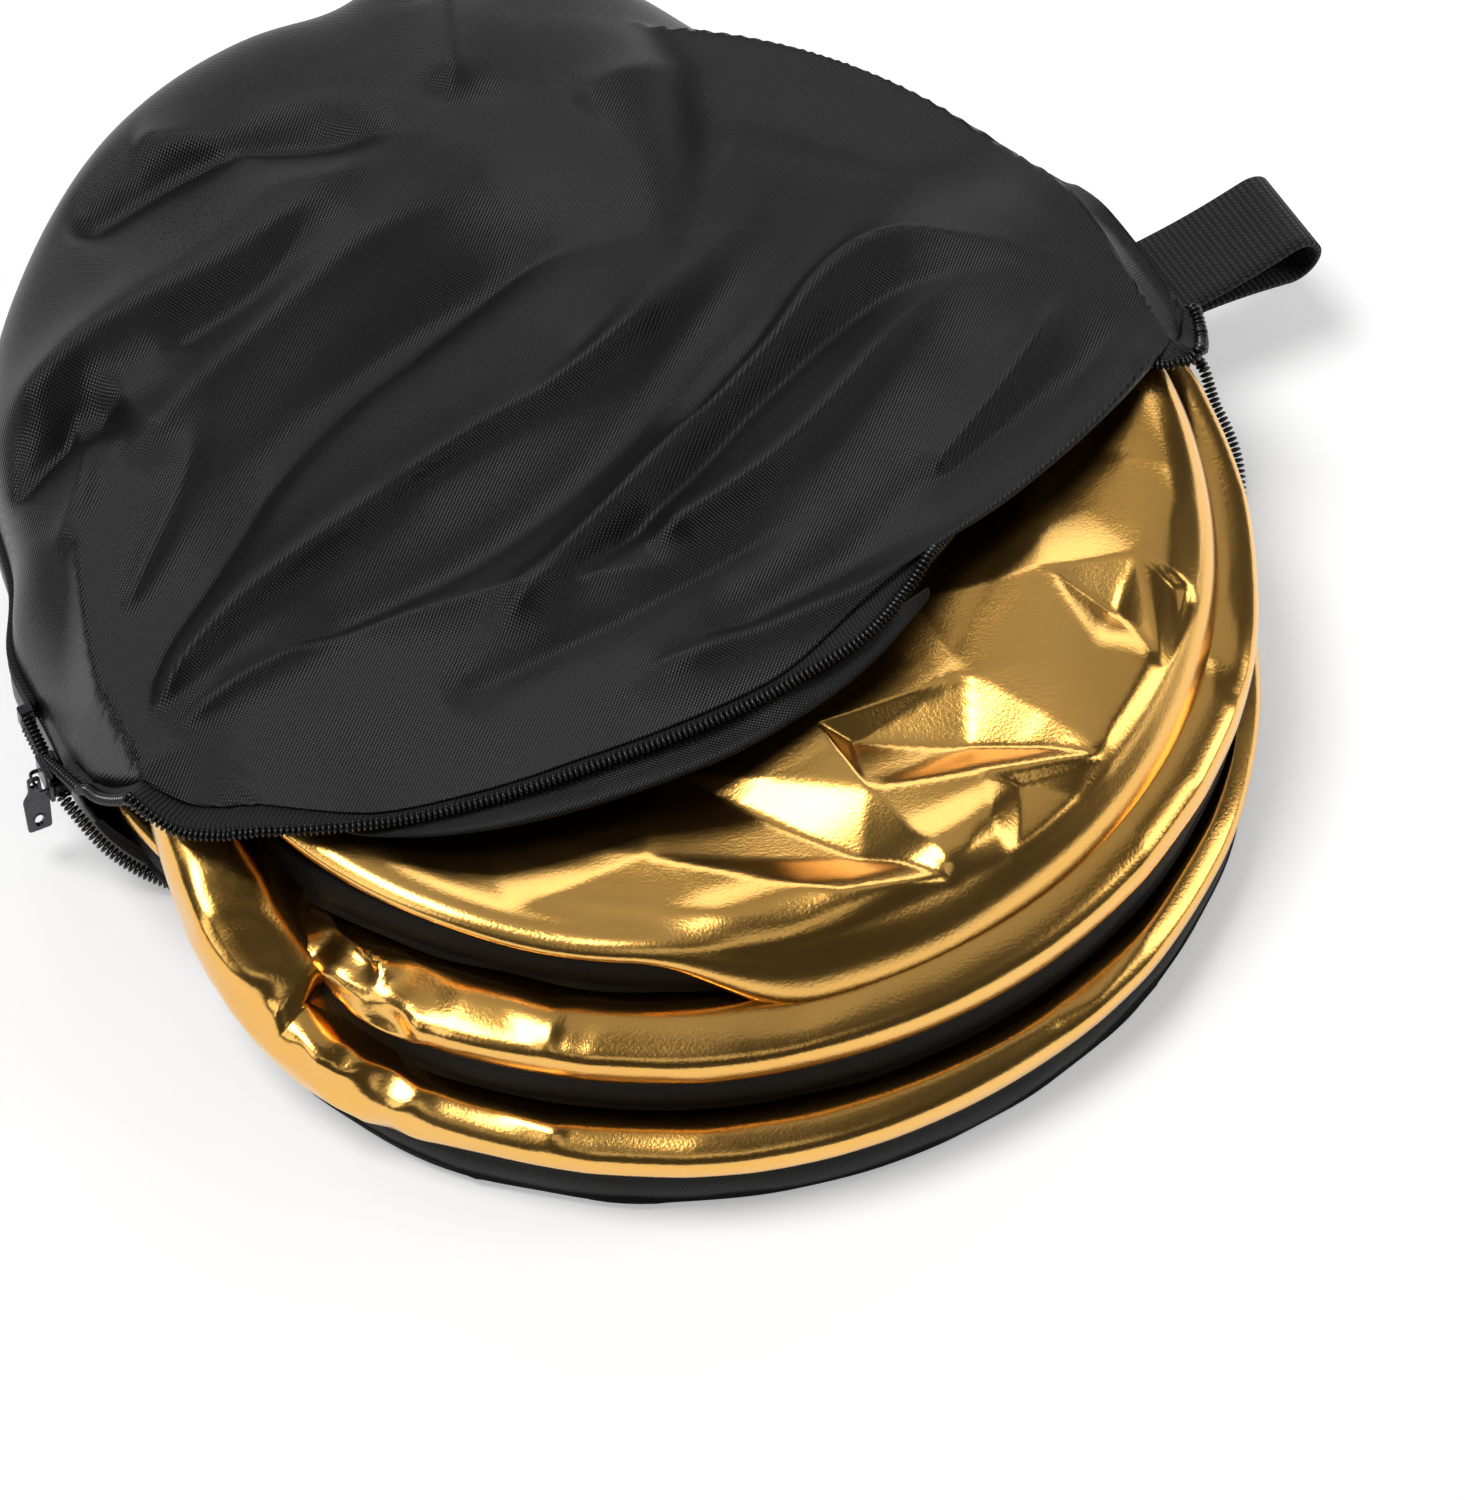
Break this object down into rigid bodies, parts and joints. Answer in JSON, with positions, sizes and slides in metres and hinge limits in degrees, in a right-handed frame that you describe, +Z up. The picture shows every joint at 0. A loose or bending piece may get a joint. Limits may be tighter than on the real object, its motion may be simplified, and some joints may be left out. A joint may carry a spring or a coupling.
{
  "type": "collapsible reflector disc",
  "caption": "Round photo reflector with a gold face, twisted into coiled loops on its spring steel hoop and half drawn out of a black zip bag with a webbing hanging loop.",
  "frame": {"origin": "on the table under the bag, midway between the two corners of the bag's mouth", "axes": "+Z up; -Y out of the bag's mouth; -X towards the corner with the zip's slider, +X towards the hanging loop"},
  "size_m": [0.3519, 0.3342, 0.0621],
  "materials": {
    "bag_nylon": "satin",
    "black_tape": "matte",
    "webbing": "matte",
    "zip_coil": "satin",
    "black_zinc": "satin",
    "gold_foil": "gloss",
    "black_lining": "matte",
    "spring_steel": "satin"
  },
  "bodies": {
    "bag": {"bag_upper_panel": "bag_nylon", "bag_lower_panel": "bag_nylon", "seam_tape": "black_tape", "zip_tape_lower": "black_tape", "zip_coil_lower": "zip_coil", "zip_tape_upper_left": "black_tape", "zip_tape_upper_right": "black_tape", "zip_coil_upper_left": "zip_coil", "zip_coil_upper_right": "zip_coil", "zip_bottom_stop": "black_zinc", "zip_top_stop_upper": "black_zinc", "zip_top_stop_lower": "black_zinc"},
    "flap": {"mouth_flap": "bag_nylon", "zip_tape_upper": "black_tape", "zip_coil_upper": "zip_coil"},
    "slider": {"slider_body": "black_zinc", "slider_bail": "black_zinc"},
    "puller": {"slider_puller": "black_zinc"},
    "hang_loop": {"hang_loop": "webbing"},
    "folded_disc": {"hoop_band": "spring_steel", "hoop_splice_plate": "spring_steel", "edge_binding": "black_tape", "gold_fold_bottom": "gold_foil", "gold_fold_middle": "gold_foil", "gold_fold_top": "gold_foil", "black_fold_bottom": "black_lining", "black_fold_middle": "black_lining", "black_fold_top": "black_lining"}
  },
  "joints": [
    {"name": "disc_pull", "type": "slide", "parent": "bag", "child": "folded_disc", "axis": [0, -1, 0], "range_m": [-0.026, 0.3]},
    {"name": "flap_lift", "type": "hinge", "parent": "bag", "child": "flap", "pos_m": [0, -0.025, 0.0608], "axis": [-1, 0, 0], "range_deg": [0, 110]},
    {"name": "slider_run", "type": "slide", "parent": "bag", "child": "slider", "axis": [0, -1, 0], "range_m": [-0.012, 0]},
    {"name": "puller_swing", "type": "hinge", "parent": "slider", "child": "puller", "pos_m": [-0.15548, -0.007, 0.028], "axis": [0, 1, 0], "range_deg": [0, 170]},
    {"name": "hang_loop_swing", "type": "hinge", "parent": "bag", "child": "hang_loop", "pos_m": [0.15103, 0.01589, 0.028], "axis": [0.0887, -0.9961, 0], "range_deg": [-30, 70], "stiffness_Nm_per_rad": 0.05}
  ]
}
